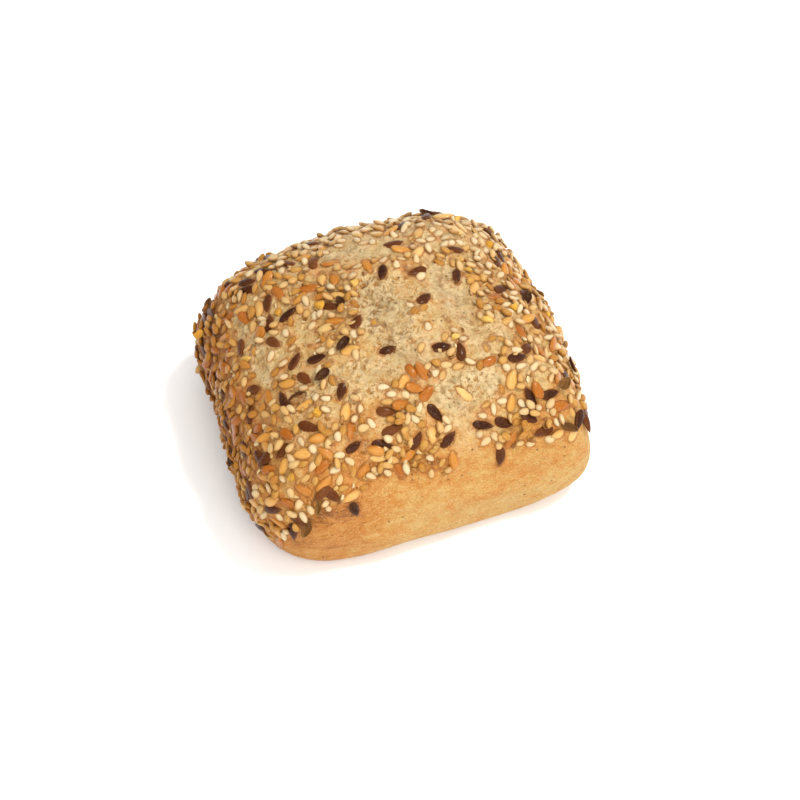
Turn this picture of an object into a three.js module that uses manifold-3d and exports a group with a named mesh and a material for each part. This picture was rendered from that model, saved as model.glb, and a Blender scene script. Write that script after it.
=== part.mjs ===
// A square seeded bread roll, baked free on its flat base. The crust is a pillow on a squared plan: a small flat foot,
// sides that swell to the widest ring a third of the way up, and a crown that leans a little to the back left.
// Linseeds are pressed into the crown and down the sides as far as the seed line; the cut front side is bare crust.
// Millimetres, +Z up, the origin at the middle of the base, +X along the longer side, -Y at the bare front side.

import * as THREE from "three";
import { mergeVertices } from "three/addons/utils/BufferGeometryUtils.js";
import Module from "manifold-3d";

// The roll
const LENGTH = 84; // along X at the widest ring
const WIDTH = 74.8; // along Y at the widest ring
const HEIGHT = 46.6;
const WIDEST_HEIGHT = 15; // how high the widest ring lies
const FOOT_SHARE = 0.863; // the flat base beside the widest ring
const PLAN_POWER = 4.8; // superellipse power of the squared plan
const CROWN_POWER = 2.25; // and of the side profile above the widest ring
const SKIRT_POWER = 2.15; // and below it
const CROWN_LEAN = { x: -2.8, y: 3.4 }; // how far the top of the crown stands off the middle
const CENTRING = { x: 0.6, y: -0.7 }; // last shift, which puts the middle of the finished roll over the origin
const FOOT_FADE = 7; // the relief fades out over this height, so that the base stays flat

// The rise runs from -1 at the middle of the base to 1 at the top of the crown
const FOOT_RISE = -0.62; // edge of the flat base
const WIDEST_RISE = -0.25; // widest ring

// Where the plan bulges (out over 0) or draws in, by the angle round the roll and the reach, in degrees
const PLAN_BULGES = [
  { name: "left waist", at: 161, reach: 15, out: -3.1 },
  { name: "front left corner", at: -155, reach: 11, out: 1.4 },
  { name: "front waist", at: -106, reach: 14, out: -0.5 },
  { name: "front right corner", at: -42, reach: 6, out: 1.1 },
  { name: "right side of that corner", at: -31, reach: 7, out: -1.0 },
];

// Slow swells of the dough: crest spacing, height and direction
const SWELLS = [
  { spacing: 47, height: 0.55, toward: [0.82, -0.51, 0.26], start: 0.6 },
  { spacing: 33, height: 0.4, toward: [-0.35, 0.9, 0.27], start: 2.2 },
  { spacing: 23, height: 0.32, toward: [0.64, 0.68, -0.36], start: 4.1 },
  { spacing: 16, height: 0.22, toward: [-0.74, 0.4, 0.54], start: 1.3 },
  { spacing: 12, height: 0.16, toward: [0.29, -0.36, 0.89], start: 5.2 },
];

// Round hollows (depth over 0) and blisters (depth under 0), by their middle, reach and depth
const HOLLOWS = [
  { name: "back left shoulder", at: [-32, 33, 28.5], reach: 8.5, depth: 2.3 },
  { name: "back hollow", at: [16, 31, 39], reach: 7, depth: 1.3 },
  { name: "back right shoulder", at: [29, 32, 32], reach: 8, depth: 1.4 },
  { name: "front right shoulder", at: [40, -31, 19], reach: 6, depth: 1.3 },
  { name: "crown dimple", at: [-7, 9, 46], reach: 8, depth: 0.9 },
  { name: "pale hollow", at: [14, 3, 45], reach: 7, depth: 0.8 },
  { name: "back blister", at: [-8, 32, 35], reach: 12, depth: -1.7 },
  { name: "front right blister", at: [28, -27, 33], reach: 9, depth: -0.8 },
  { name: "front left blister", at: [-27, -29, 30], reach: 9, depth: -0.7 },
];

// Creases torn in the crown as it rose, by their two ends in plan, with a lip raised along the left-hand side
const CREASES = [
  { from: [-15, 15], to: [-3, 4], width: 3.2, depth: 1.0, lip: 0.3 },
  { from: [-4, 6], to: [-2, -22], width: 3.6, depth: 0.7, lip: 0.2 },
  { from: [15, 12], to: [16, -9], width: 3.8, depth: 1.1, lip: 0.7 },
  { from: [3, -16], to: [9, -30], width: 3.0, depth: 0.6, lip: 0.2 },
];
const CREASE_WAVER = { spacing: 9, height: 1.1 };
const CREASE_LIP = { aside: 1.5, width: 0.6 }; // beside the crease's own width

// Where seeds lie: down each side to its seed line, and not on the bare patches of the crown
const SEED_LINE = { front: 26.5, right: 20, back: 14, left: 7 };
const SEED_LINE_WAVER = { height: 1.4, turns: 9 };
const SEED_LINE_FEATHER = 1; // each way
const SEED_LINE_BLEND = [-0.12, 0.1]; // where the front's and back's lines turn into the sides' at a corner
const LOWEST_SEED_RISE = -0.5;
const CROWN_STARTS = 28; // bare patches fade in up to this height
const PATCH_FEATHER = [0.6, 1.3]; // beside the patch's own reach
const BARE_PATCHES = [
  { at: [-2, -3], reach: [6, 14], share: 0.9 },
  { at: [15.5, 1], reach: [4, 11], share: 0.97 },
  { at: [-13, -16], reach: [9, 4.5], share: 0.85 },
  { at: [10, -23], reach: [9, 4], share: 0.9 },
  { at: [6.5, -31], reach: [3.2, 7], share: 0.96 },
  { at: [-5, 19], reach: [6, 3], share: 0.6 },
  { at: [-32.5, 6], reach: [2, 13], share: 0.9 },
  { at: [4, 4], reach: [6, 5], share: 0.5 },
  { at: [23, -12], reach: [4, 5], share: 0.5 },
  { at: [-24, -13], reach: [5, 4], share: 0.4 },
];

// The seeds: a brown and a golden linseed, both flat drops
const SEED_SINK = 0.32; // share of a seed's thickness that is in the crust
const SEED_RIM = 8; // corners round a seed's rim
const SEED_TOP = 0.55; // its flat top beside the rim
const SEED_TAPER = 0.25; // how much its pointed end draws in
const SEED_GAP = 0.86; // how near two seeds may lie, beside the sum of their half widths
const BROWN = { name: "brown", length: 5.2, width: 2.6, thick: 1.2, count: 66 }; // besides those placed by hand
const GOLDEN = { name: "golden", length: 4.8, width: 2.5, thick: 1.1, count: 64 };
const BARE_OF_BROWN = { at: [0, -3], reach: [26, 25], share: 0.85 }; // the middle of the crown, placed by hand
const MOST_LEAN = 0.24; // radians by which a seed rolls on its bed
const LARGEST_PATCH = 6000; // square mm, over the most that one radian by one unit of rise covers
const DRAW_START = 3610;

// Brown linseeds that catch the eye on the crown: X, Y and the turn of the pointed end in degrees
const EYE_CATCHERS = [
  [8, -0.3, 28], [-5.4, -11, 12], [7.2, -13.7, -8], [11.3, -15.5, 80], [-10.2, -23.3, -20],
  [-19.8, -27.6, 10], [-4.8, -29.5, 50], [1, -26.3, -60], [-13, -28.6, -30], [24, -19.4, 5],
  [24, -27.5, 115], [28.5, -27.5, 10], [11.5, -30.5, -15], [16.5, -31, -25], [-9.5, -1.8, 45],
  [-13, 5.3, -40], [-27, 9, 65], [-28, 3, -60], [-25.6, -4.4, 40], [-20.7, -7.3, -10],
  [-36, -3.5, -35], [-31.5, -11.8, 90], [-12.2, 19.8, 70], [-23.5, 24.5, -50], [7.3, 18.3, 0],
  [21.2, 13.8, 0], [28.3, 1.7, 20], [34.5, 2.5, 30], [33.5, -7, 70],
];

// Two more that lie alone on the front side: angle round the roll in degrees, rise, and turn from straight down
const LONE_SEEDS = [
  [-121, -0.08, 20],
  [-67.5, -0.03, -20],
];

const HULL_DETAIL = 12; // the crust mesh has 20 (detail + 1)^2 faces
const HALF_TURN = Math.PI;

// Draws from 0 to 1, the same row of them on every run
function drawer(start) {
  let state = start;
  return () => {
    state = (Math.imul(state, 1664525) + 1013904223) >>> 0;
    return state / 2 ** 32;
  };
}

const smooth = (low, high, value) => THREE.MathUtils.smoothstep(value, low, high);

// The plan's radius at an angle round the roll
function planRadius(angle) {
  const along = Math.abs(Math.cos(angle) / (LENGTH / 2)) ** PLAN_POWER;
  const across = Math.abs(Math.sin(angle) / (WIDTH / 2)) ** PLAN_POWER;
  let radius = (along + across) ** (-1 / PLAN_POWER);
  for (const { at, reach, out } of PLAN_BULGES) {
    const off = THREE.MathUtils.euclideanModulo(THREE.MathUtils.radToDeg(angle) - at + 180, 360) - 180;
    radius += out * Math.exp(-((off / reach) ** 2));
  }
  return radius;
}

// The dough before relief: a point at an angle round the roll and a rise
function doughPoint(angle, rise) {
  let share;
  let height = 0;
  let lean = 0;
  if (rise < FOOT_RISE) {
    share = (FOOT_SHARE * (1 + rise)) / (1 + FOOT_RISE);
  } else if (rise < WIDEST_RISE) {
    const swing = ((rise - FOOT_RISE) / (WIDEST_RISE - FOOT_RISE)) * (HALF_TURN / 2);
    share = FOOT_SHARE + (1 - FOOT_SHARE) * Math.sin(swing) ** (2 / SKIRT_POWER);
    height = WIDEST_HEIGHT * (1 - Math.cos(swing) ** (2 / SKIRT_POWER));
  } else {
    const swing = ((rise - WIDEST_RISE) / (1 - WIDEST_RISE)) * (HALF_TURN / 2);
    share = Math.max(Math.cos(swing), 0) ** (2 / CROWN_POWER);
    lean = Math.sin(swing) ** (2 / CROWN_POWER);
    height = WIDEST_HEIGHT + (HEIGHT - WIDEST_HEIGHT) * lean;
  }
  const radius = planRadius(angle) * share;
  return new THREE.Vector3(
    radius * Math.cos(angle) + CROWN_LEAN.x * lean,
    radius * Math.sin(angle) + CROWN_LEAN.y * lean,
    height,
  );
}

// The outward normal of the dough, and the area of a patch of one radian by one unit of rise
function doughFacing(angle, rise) {
  const step = 1e-4; // small beside a radian and a unit of rise
  const round = doughPoint(angle + step, rise).sub(doughPoint(angle - step, rise));
  const up = doughPoint(angle, Math.min(rise + step, 1)).sub(doughPoint(angle, rise - step));
  const cross = round.cross(up).divideScalar(4 * step * step);
  const area = cross.length();
  const normal = area > 1 ? cross.divideScalar(area) : new THREE.Vector3(0, 0, Math.sign(rise));
  return { normal, area };
}

function swellHeight(p) {
  let sum = 0;
  for (const { spacing, height, toward, start } of SWELLS) {
    const along = p.x * toward[0] + p.y * toward[1] + p.z * toward[2];
    sum += height * Math.sin((2 * HALF_TURN * along) / spacing + start);
  }
  return sum;
}

function hollowHeight(p) {
  let sum = 0;
  for (const { at, reach, depth } of HOLLOWS) {
    const apart = (p.x - at[0]) ** 2 + (p.y - at[1]) ** 2 + (p.z - at[2]) ** 2;
    sum -= depth * Math.exp(-apart / reach ** 2);
  }
  return sum;
}

function creaseHeight(p) {
  let sum = 0;
  for (const { from, to, width, depth, lip } of CREASES) {
    const run = [to[0] - from[0], to[1] - from[1]];
    const length = Math.hypot(run[0], run[1]);
    const along = ((p.x - from[0]) * run[0] + (p.y - from[1]) * run[1]) / length;
    const waver = CREASE_WAVER.height * Math.sin((2 * HALF_TURN * along) / CREASE_WAVER.spacing);
    const aside = ((p.x - from[0]) * run[1] - (p.y - from[1]) * run[0]) / length + waver;
    const past = Math.max(0, -along, along - length);
    const fade = Math.exp(-((past / width) ** 2)) * smooth(WIDEST_HEIGHT, HEIGHT, p.z);
    sum -= depth * fade * Math.exp(-((aside / width) ** 2));
    const offLip = (aside + CREASE_LIP.aside * width) / (CREASE_LIP.width * width);
    sum += lip * fade * Math.exp(-(offLip ** 2));
  }
  return sum;
}

// The crust: the dough moved in or out by its relief
function crust(angle, rise) {
  const point = doughPoint(angle, rise);
  const { normal, area } = doughFacing(angle, rise);
  const relief = swellHeight(point) + hollowHeight(point) + creaseHeight(point);
  const held = rise < FOOT_RISE ? 0 : smooth(0, FOOT_FADE, point.z);
  point.addScaledVector(normal, relief * held);
  return { point, normal, area };
}

// The angle and rise of the crown over a place in plan. The lean depends on the height, so a few tries close in on it.
function crownAt(x, y) {
  let lean = 1;
  let across = 0;
  let along = 0;
  let swing = 0;
  for (let tries = 0; tries < 12; tries += 1) {
    along = x - CROWN_LEAN.x * lean;
    across = y - CROWN_LEAN.y * lean;
    const share = Math.hypot(along, across) / planRadius(Math.atan2(across, along));
    swing = Math.acos(Math.min(share, 1) ** (CROWN_POWER / 2));
    lean = Math.sin(swing) ** (2 / CROWN_POWER);
  }
  return {
    angle: Math.atan2(across, along),
    rise: WIDEST_RISE + (swing / (HALF_TURN / 2)) * (1 - WIDEST_RISE),
  };
}

// How thickly a kind of seed lies on the crust, from 0 to 1
function seedCover(kind, p) {
  const endOn = Math.abs(p.x) / LENGTH - Math.abs(p.y) / WIDTH; // over 0 on the left and right sides
  const ends = smooth(...SEED_LINE_BLEND, endOn);
  const end = p.x > 0 ? SEED_LINE.right : SEED_LINE.left;
  const side = p.y > 0 ? SEED_LINE.back : SEED_LINE.front;
  const waver = SEED_LINE_WAVER.height * Math.sin(SEED_LINE_WAVER.turns * Math.atan2(p.y, p.x));
  const line = end * ends + side * (1 - ends) + waver;
  const onCrown = smooth(WIDEST_HEIGHT, CROWN_STARTS, p.z);
  const patches = kind === BROWN ? [...BARE_PATCHES, BARE_OF_BROWN] : BARE_PATCHES;
  let cover = smooth(line - SEED_LINE_FEATHER, line + SEED_LINE_FEATHER, p.z);
  for (const { at, reach, share } of patches) {
    const apart = ((p.x - at[0]) / reach[0]) ** 2 + ((p.y - at[1]) / reach[1]) ** 2;
    cover *= 1 - share * onCrown * (1 - smooth(...PATCH_FEATHER, apart));
  }
  return cover;
}

// A seed's own axes on the crust: where it lies, and three beads along it that keep its neighbours off
function bed(kind, angle, rise, turn, lean) {
  const { point, normal } = crust(angle, rise);
  const flat = new THREE.Vector3(-Math.sin(angle), Math.cos(angle), 0).cross(normal).normalize();
  const along = flat.applyAxisAngle(normal, turn);
  const outward = normal.clone().applyAxisAngle(along, lean);
  const middle = point.clone().addScaledVector(normal, kind.thick * (0.5 - SEED_SINK));
  const beads = [-1, 0, 1].map((end) =>
    point.clone().addScaledVector(along, (end * (kind.length - kind.width)) / 2),
  );
  return { kind, middle, along, outward, beads };
}

function crowds(seed, sown) {
  return sown.some((other) => {
    const room = ((seed.kind.width + other.kind.width) / 2) * SEED_GAP;
    return seed.beads.some((a) => other.beads.some((b) => a.distanceTo(b) < room));
  });
}

// Throws seeds at the crust until enough of a kind have found bare dough
function sow(kind, draw, sown) {
  let left = kind.count;
  while (left > 0) {
    const angle = (2 * draw() - 1) * HALF_TURN;
    const rise = LOWEST_SEED_RISE + draw() * (1 - LOWEST_SEED_RISE);
    const chance = draw();
    const turn = draw() * 2 * HALF_TURN;
    const lean = (2 * draw() - 1) * MOST_LEAN;
    const { point, area } = crust(angle, rise);
    if (chance * LARGEST_PATCH < area * seedCover(kind, point)) {
      const seed = bed(kind, angle, rise, turn, lean);
      if (!crowds(seed, sown)) {
        sown.push(seed);
        left -= 1;
      }
    }
  }
}

function sowAll() {
  const draw = drawer(DRAW_START);
  const sown = EYE_CATCHERS.map(([x, y, turn]) => {
    const { angle, rise } = crownAt(x, y);
    return bed(BROWN, angle, rise, THREE.MathUtils.degToRad(turn) - angle, 0);
  });
  for (const [degrees, rise, turn] of LONE_SEEDS)
    sown.push(bed(BROWN, THREE.MathUtils.degToRad(degrees), rise, THREE.MathUtils.degToRad(turn), 0));
  sow(BROWN, draw, sown);
  sow(GOLDEN, draw, sown);
  return sown;
}

// A three.js geometry as a solid for joining
function solidOf(wasm, geometry) {
  const bare = geometry.clone();
  bare.deleteAttribute("normal");
  bare.deleteAttribute("uv");
  const merged = mergeVertices(bare, 1e-3);
  return new wasm.Manifold(
    new wasm.Mesh({
      numProp: 3,
      vertProperties: merged.attributes.position.array,
      triVerts: new Uint32Array(merged.index.array),
    }),
  );
}

function geometryOf(solid) {
  const mesh = solid.getMesh();
  const geometry = new THREE.BufferGeometry();
  geometry.setAttribute("position", new THREE.BufferAttribute(mesh.vertProperties, 3));
  geometry.setIndex(new THREE.BufferAttribute(mesh.triVerts, 1));
  geometry.computeVertexNormals();
  return geometry;
}

// The crust as a ball of even triangles, each corner pushed out to its place
function crustGeometry() {
  const ball = new THREE.IcosahedronGeometry(1, HULL_DETAIL);
  const corners = ball.getAttribute("position");
  const way = new THREE.Vector3();
  for (let i = 0; i < corners.count; i += 1) {
    way.fromBufferAttribute(corners, i).normalize();
    const rise = Math.asin(THREE.MathUtils.clamp(way.z, -1, 1)) / (HALF_TURN / 2);
    const { point } = crust(Math.atan2(way.y, way.x), rise);
    corners.setXYZ(i, point.x, point.y, point.z);
  }
  return ball;
}

// A linseed: a flat drop lying along X, with a rim of eight corners, a smaller flat top and a keel
function seedGeometry({ length, width, thick }) {
  const corners = [];
  const ring = (count, share, height) => {
    for (let i = 0; i < count; i += 1) {
      const turn = (2 * HALF_TURN * i) / count;
      const taper = 1 - SEED_TAPER * Math.cos(turn);
      const across = Math.sin(turn) * taper * (width / 2);
      corners.push((Math.cos(turn) * share * length) / 2, across * share, height);
    }
  };
  ring(SEED_RIM, 1, 0);
  ring(SEED_RIM / 2, SEED_TOP, thick / 2);
  corners.push(0, 0, -thick / 2);
  const top = (i) => SEED_RIM + (i % (SEED_RIM / 2));
  const keel = SEED_RIM * 1.5;
  const faces = [];
  for (let i = 0; i < SEED_RIM; i += 2) {
    const next = (i + 1) % SEED_RIM;
    const last = (i + SEED_RIM - 1) % SEED_RIM;
    faces.push(last, i, top(i / 2), i, next, top(i / 2));
    faces.push(next, top(i / 2 + 1), top(i / 2));
    faces.push(i, last, keel, next, i, keel);
  }
  for (let i = 1; i < SEED_RIM / 2 - 1; i += 1) faces.push(top(0), top(i), top(i + 1));
  const seed = new THREE.BufferGeometry();
  seed.setAttribute("position", new THREE.Float32BufferAttribute(corners, 3));
  seed.setIndex(faces);
  return seed;
}

function placed(geometry, { middle, along, outward }) {
  const side = outward.clone().cross(along).normalize();
  const up = along.clone().cross(side).normalize();
  const place = new THREE.Matrix4().makeBasis(along, side, up).setPosition(middle);
  return geometry.clone().applyMatrix4(place);
}

const wasm = await Module();
wasm.setup();

const shapes = { brown: seedGeometry(BROWN), golden: seedGeometry(GOLDEN) };
const seeds = sowAll().map((seed) => solidOf(wasm, placed(shapes[seed.kind.name], seed)));
const fused = wasm.Manifold.union([solidOf(wasm, crustGeometry()), ...seeds]);

const bakedCrust = new THREE.MeshStandardMaterial({
  name: "baked crust",
  color: "#d9a866",
  roughness: 0.8,
  metalness: 0,
});

const breadRoll = new THREE.Mesh(geometryOf(fused).translate(CENTRING.x, CENTRING.y, 0), bakedCrust);
breadRoll.name = "bread_roll";

const roll = new THREE.Group();
roll.add(breadRoll);

export default roll;
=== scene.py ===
import math

import bmesh
import bpy
import numpy as np
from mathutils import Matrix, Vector, kdtree, noise


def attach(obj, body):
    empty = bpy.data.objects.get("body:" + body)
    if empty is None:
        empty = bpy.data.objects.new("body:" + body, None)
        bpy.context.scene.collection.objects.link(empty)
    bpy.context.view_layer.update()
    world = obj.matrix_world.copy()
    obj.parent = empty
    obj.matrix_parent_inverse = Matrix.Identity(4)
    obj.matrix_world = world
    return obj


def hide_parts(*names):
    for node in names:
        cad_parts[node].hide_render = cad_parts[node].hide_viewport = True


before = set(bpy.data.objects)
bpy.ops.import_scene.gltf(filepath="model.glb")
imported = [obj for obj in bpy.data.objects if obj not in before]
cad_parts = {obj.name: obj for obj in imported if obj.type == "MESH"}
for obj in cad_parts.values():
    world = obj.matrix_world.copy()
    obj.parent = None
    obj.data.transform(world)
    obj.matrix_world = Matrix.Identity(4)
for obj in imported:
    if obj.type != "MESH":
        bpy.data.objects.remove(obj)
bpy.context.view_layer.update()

perMm = 0.001  # the roll is worked out in millimetres and its meshes are made in metres
quarterTurn = math.pi / 2

# The dough, as the solid has it: a pillow on a squared plan. A place on it is an angle round the roll and a
# rise, which runs from -1 at the middle of the base to 1 at the top of the crown.
dough = {
    "length": 84,
    "width": 74.8,
    "height": 46.6,
    "widestHeight": 15,
    "footShare": 0.863,
    "planPower": 4.8,
    "crownPower": 2.25,
    "skirtPower": 2.15,
    "crownLean": (-2.8, 3.4),
    "leanRounds": 12,  # tries to find the place under a point of the plan, since the crown leans
    "centring": (0.6, -0.7, 0),
    "footFade": 7,
    "footRise": -0.62,
    "widestRise": -0.25,
    # where the plan bulges or draws in: degrees round the roll, reach in degrees, out in mm
    "planBulges": [(161, 15, -3.1), (-155, 11, 1.4), (-106, 14, -0.5), (-42, 6, 1.1), (-31, 7, -1.0)],
    # slow swells: crest spacing, height, direction, start
    "swells": [
        (47, 0.55, (0.82, -0.51, 0.26), 0.6),
        (33, 0.4, (-0.35, 0.9, 0.27), 2.2),
        (23, 0.32, (0.64, 0.68, -0.36), 4.1),
        (16, 0.22, (-0.74, 0.4, 0.54), 1.3),
        (12, 0.16, (0.29, -0.36, 0.89), 5.2),
    ],
    # hollows, or blisters where the depth is under 0: middle, reach, depth
    "hollows": [
        ((-32, 33, 28.5), 8.5, 2.3),
        ((16, 31, 39), 7, 1.3),
        ((29, 32, 32), 8, 1.4),
        ((40, -31, 19), 6, 1.3),
        ((-7, 9, 46), 8, 0.9),
        ((14, 3, 45), 7, 0.8),
        ((-8, 32, 35), 12, -1.7),
        ((28, -27, 33), 9, -0.8),
        ((-27, -29, 30), 9, -0.7),
    ],
    # creases torn in the crown: two ends in plan, width, depth, height of the lip
    "creases": [
        ((-15, 15), (-3, 4), 3.2, 1.0, 0.3),
        ((-4, 6), (-2, -22), 3.6, 0.7, 0.2),
        ((15, 12), (16, -9), 3.8, 1.1, 0.7),
        ((3, -16), (9, -30), 3.0, 0.6, 0.2),
    ],
    "creaseWaver": (9, 1.1),
    "creaseLip": (1.5, 0.6),
}


def smoothStep(low, high, value):
    share = np.clip((value - low) / (high - low), 0, 1)
    return share * share * (3 - 2 * share)


def planRadius(angle):
    along = np.abs(np.cos(angle) / (dough["length"] / 2)) ** dough["planPower"]
    across = np.abs(np.sin(angle) / (dough["width"] / 2)) ** dough["planPower"]
    radius = (along + across) ** (-1 / dough["planPower"])
    for at, reach, out in dough["planBulges"]:
        off = (np.degrees(angle) - at + 180) % 360 - 180
        radius = radius + out * np.exp(-((off / reach) ** 2))
    return radius


def doughPoint(angle, rise):
    footRise, widestRise, widestHeight = dough["footRise"], dough["widestRise"], dough["widestHeight"]
    skirt = np.clip((rise - footRise) / (widestRise - footRise), 0, 1) * quarterTurn
    crown = np.clip((rise - widestRise) / (1 - widestRise), 0, 1) * quarterTurn
    lean = np.sin(crown) ** (2 / dough["crownPower"])
    skirtShare = dough["footShare"] + (1 - dough["footShare"]) * np.sin(skirt) ** (2 / dough["skirtPower"])
    skirtHeight = widestHeight * (1 - np.cos(skirt) ** (2 / dough["skirtPower"]))
    share = np.where(
        rise < footRise,
        dough["footShare"] * (1 + rise) / (1 + footRise),
        np.where(rise < widestRise, skirtShare, np.clip(np.cos(crown), 0, 1) ** (2 / dough["crownPower"])),
    )
    height = np.where(rise < widestRise, skirtHeight, widestHeight) + (dough["height"] - widestHeight) * lean
    radius = planRadius(angle) * share
    return np.stack(
        [
            radius * np.cos(angle) + dough["crownLean"][0] * lean,
            radius * np.sin(angle) + dough["crownLean"][1] * lean,
            height,
        ],
        -1,
    )


def doughFacing(angle, rise):
    step, leastArea = 1e-4, 1  # where the net closes up, at the middle of crown and base, it faces straight
    across = doughPoint(angle + step, rise) - doughPoint(angle - step, rise)
    up = doughPoint(angle, np.minimum(rise + step, 1)) - doughPoint(angle, rise - step)
    cross = np.cross(across, up) / (4 * step * step)
    area = np.linalg.norm(cross, axis=-1)
    straight = np.stack([0 * rise, 0 * rise, np.sign(rise)], -1)
    facing = cross / np.maximum(area, leastArea)[..., None]
    return np.where((area > leastArea)[..., None], facing, straight), area


def creaseShares(p, crease):
    start, end, width = crease[:3]
    run = np.subtract(end, start)
    length = math.hypot(*run)
    fromStart = p[..., :2] - np.array(start)
    along = fromStart @ run / length
    waver = dough["creaseWaver"][1] * np.sin(2 * math.pi * along / dough["creaseWaver"][0])
    aside = (fromStart[..., 0] * run[1] - fromStart[..., 1] * run[0]) / length + waver
    past = np.maximum(0, np.maximum(-along, along - length))
    fade = np.exp(-((past / width) ** 2)) * smoothStep(dough["widestHeight"], dough["height"], p[..., 2])
    offLip = (aside + dough["creaseLip"][0] * width) / (dough["creaseLip"][1] * width)
    return fade * np.exp(-((aside / width) ** 2)), fade * np.exp(-(offLip**2))


def slowRelief(p):
    total = np.zeros(p.shape[:-1])
    for spacing, height, toward, start in dough["swells"]:
        total += height * np.sin(2 * math.pi * (p @ np.array(toward)) / spacing + start)
    for at, reach, depth in dough["hollows"]:
        total -= depth * np.exp(-((p - np.array(at)) ** 2).sum(-1) / reach**2)
    for crease in dough["creases"]:
        deep, lip = creaseShares(p, crease)
        total += crease[4] * lip - crease[3] * deep
    return total


def crustPoint(angle, rise):
    point = doughPoint(angle, rise)
    facing, area = doughFacing(angle, rise)
    held = np.where(rise < dough["footRise"], 0, smoothStep(0, dough["footFade"], point[..., 2]))
    return point + facing * (slowRelief(point) * held)[..., None], facing, area


def crownAt(x, y):
    lean = 1
    for _ in range(dough["leanRounds"]):
        along, across = x - dough["crownLean"][0] * lean, y - dough["crownLean"][1] * lean
        share = math.hypot(along, across) / planRadius(math.atan2(across, along))
        swing = math.acos(min(share, 1) ** (dough["crownPower"] / 2))
        lean = math.sin(swing) ** (2 / dough["crownPower"])
    rise = dough["widestRise"] + swing / quarterTurn * (1 - dough["widestRise"])
    return math.atan2(across, along), rise


# Where the seeds lie, by the same rule as in the solid: down each side to its seed line, and hardly on the
# bare patches
seedBed = {
    "line": {"front": 26.5, "right": 20, "back": 14, "left": 7},
    "waver": (1.4, 9),
    "feather": 1,
    "blend": (-0.12, 0.1),
    "lowestRise": -0.5,
    "crownStarts": 28,
    "patchFeather": (0.6, 1.3),
    "patches": [
        ((-2, -3), (6, 14), 0.9),
        ((15.5, 1), (4, 11), 0.97),
        ((-13, -16), (9, 4.5), 0.85),
        ((10, -23), (9, 4), 0.9),
        ((6.5, -31), (3.2, 7), 0.96),
        ((-5, 19), (6, 3), 0.6),
        ((-32.5, 6), (2, 13), 0.9),
        ((4, 4), (6, 5), 0.5),
        ((23, -12), (4, 5), 0.5),
        ((-24, -13), (5, 4), 0.4),
    ],
    "bareOfBrown": ((0, -3), (26, 25), 0.85),
    "largestPatch": 6000,
    "drawStart": 3610,
    "throws": 60000,
    # the toppings that only the visual has: how they crowd, and where the crown stays bare of most of them
    "laterCrowding": 1.6,
    "laterBare": [
        ((8, 1), (12, 13), 0.72),
        ((-5, -12), (11, 7), 0.75),
        ((16.5, -14), (3.5, 11), 0.75),
        ((-18, -25), (7, 6), 0.55),
        ((-22, -4), (8, 9), 0.3),
        ((1, 19), (9, 5), 0.6),
    ],
    "mostLean": 0.24,
    "taper": 0.25,
    "clearGap": 1.05,  # neighbours' distance, beside the room they need, from which a seed lies flat
    "mostSeeds": 4000,
}

# Brown linseeds that catch the eye on the crown: X, Y, turn; and two alone on the front: angle, rise, turn
eyeCatchers = [
    (8, -0.3, 28), (-5.4, -11, 12), (7.2, -13.7, -8), (11.3, -15.5, 80), (-10.2, -23.3, -20),
    (-19.8, -27.6, 10), (-4.8, -29.5, 50), (1, -26.3, -60), (-13, -28.6, -30), (24, -19.4, 5),
    (24, -27.5, 115), (28.5, -27.5, 10), (11.5, -30.5, -15), (16.5, -31, -25), (-9.5, -1.8, 45),
    (-13, 5.3, -40), (-27, 9, 65), (-28, 3, -60), (-25.6, -4.4, 40), (-20.7, -7.3, -10),
    (-36, -3.5, -35), (-31.5, -11.8, 90), (-12.2, 19.8, 70), (-23.5, 24.5, -50), (7.3, 18.3, 0),
    (21.2, 13.8, 0), (28.3, 1.7, 20), (34.5, 2.5, 30), (33.5, -7, 70),
]
loneSeeds = [(-121, -0.08, 20), (-67.5, -0.03, -20)]


def seedCover(p, patches):
    endOn = np.abs(p[..., 0]) / dough["length"] - np.abs(p[..., 1]) / dough["width"]
    ends = smoothStep(*seedBed["blend"], endOn)
    line = seedBed["line"]
    end = np.where(p[..., 0] > 0, line["right"], line["left"])
    side = np.where(p[..., 1] > 0, line["back"], line["front"])
    waver = seedBed["waver"][0] * np.sin(seedBed["waver"][1] * np.arctan2(p[..., 1], p[..., 0]))
    edge = end * ends + side * (1 - ends) + waver
    onCrown = smoothStep(dough["widestHeight"], seedBed["crownStarts"], p[..., 2])
    cover = smoothStep(edge - seedBed["feather"], edge + seedBed["feather"], p[..., 2])
    for at, reach, share in patches:
        apart = ((p[..., 0] - at[0]) / reach[0]) ** 2 + ((p[..., 1] - at[1]) / reach[1]) ** 2
        cover = cover * (1 - share * onCrown * (1 - smoothStep(*seedBed["patchFeather"], apart)))
    return cover


def drawRow(start, count):
    # numbers from 0 to 1, the same as in the solid's own source
    times, plus, wrap = 1664525, 1013904223, 2**32
    state, row = start, []
    for _ in range(count):
        state = (state * times + plus) % wrap
        row.append(state / wrap)
    return np.array(row)


def throwSeeds():
    draws = drawRow(seedBed["drawStart"], 5 * seedBed["throws"]).reshape(-1, 5)
    angle = (2 * draws[:, 0] - 1) * math.pi
    rise = seedBed["lowestRise"] + draws[:, 1] * (1 - seedBed["lowestRise"])
    point, facing, area = crustPoint(angle, rise)
    chance = draws[:, 2] * seedBed["largestPatch"]
    patches = seedBed["patches"]
    laterCover = seedCover(point, patches + seedBed["laterBare"])
    return {
        "angle": angle,
        "turn": draws[:, 3] * 2 * math.pi,
        "lean": (2 * draws[:, 4] - 1) * seedBed["mostLean"],
        "point": point,
        "facing": facing,
        "lands": chance < area * seedCover(point, patches),
        "landsBrown": chance < area * seedCover(point, patches + [seedBed["bareOfBrown"]]),
        "landsLater": chance < area * laterCover ** seedBed["laterCrowding"],
        "bare": 1 - laterCover,
        "next": 0,
    }


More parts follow.
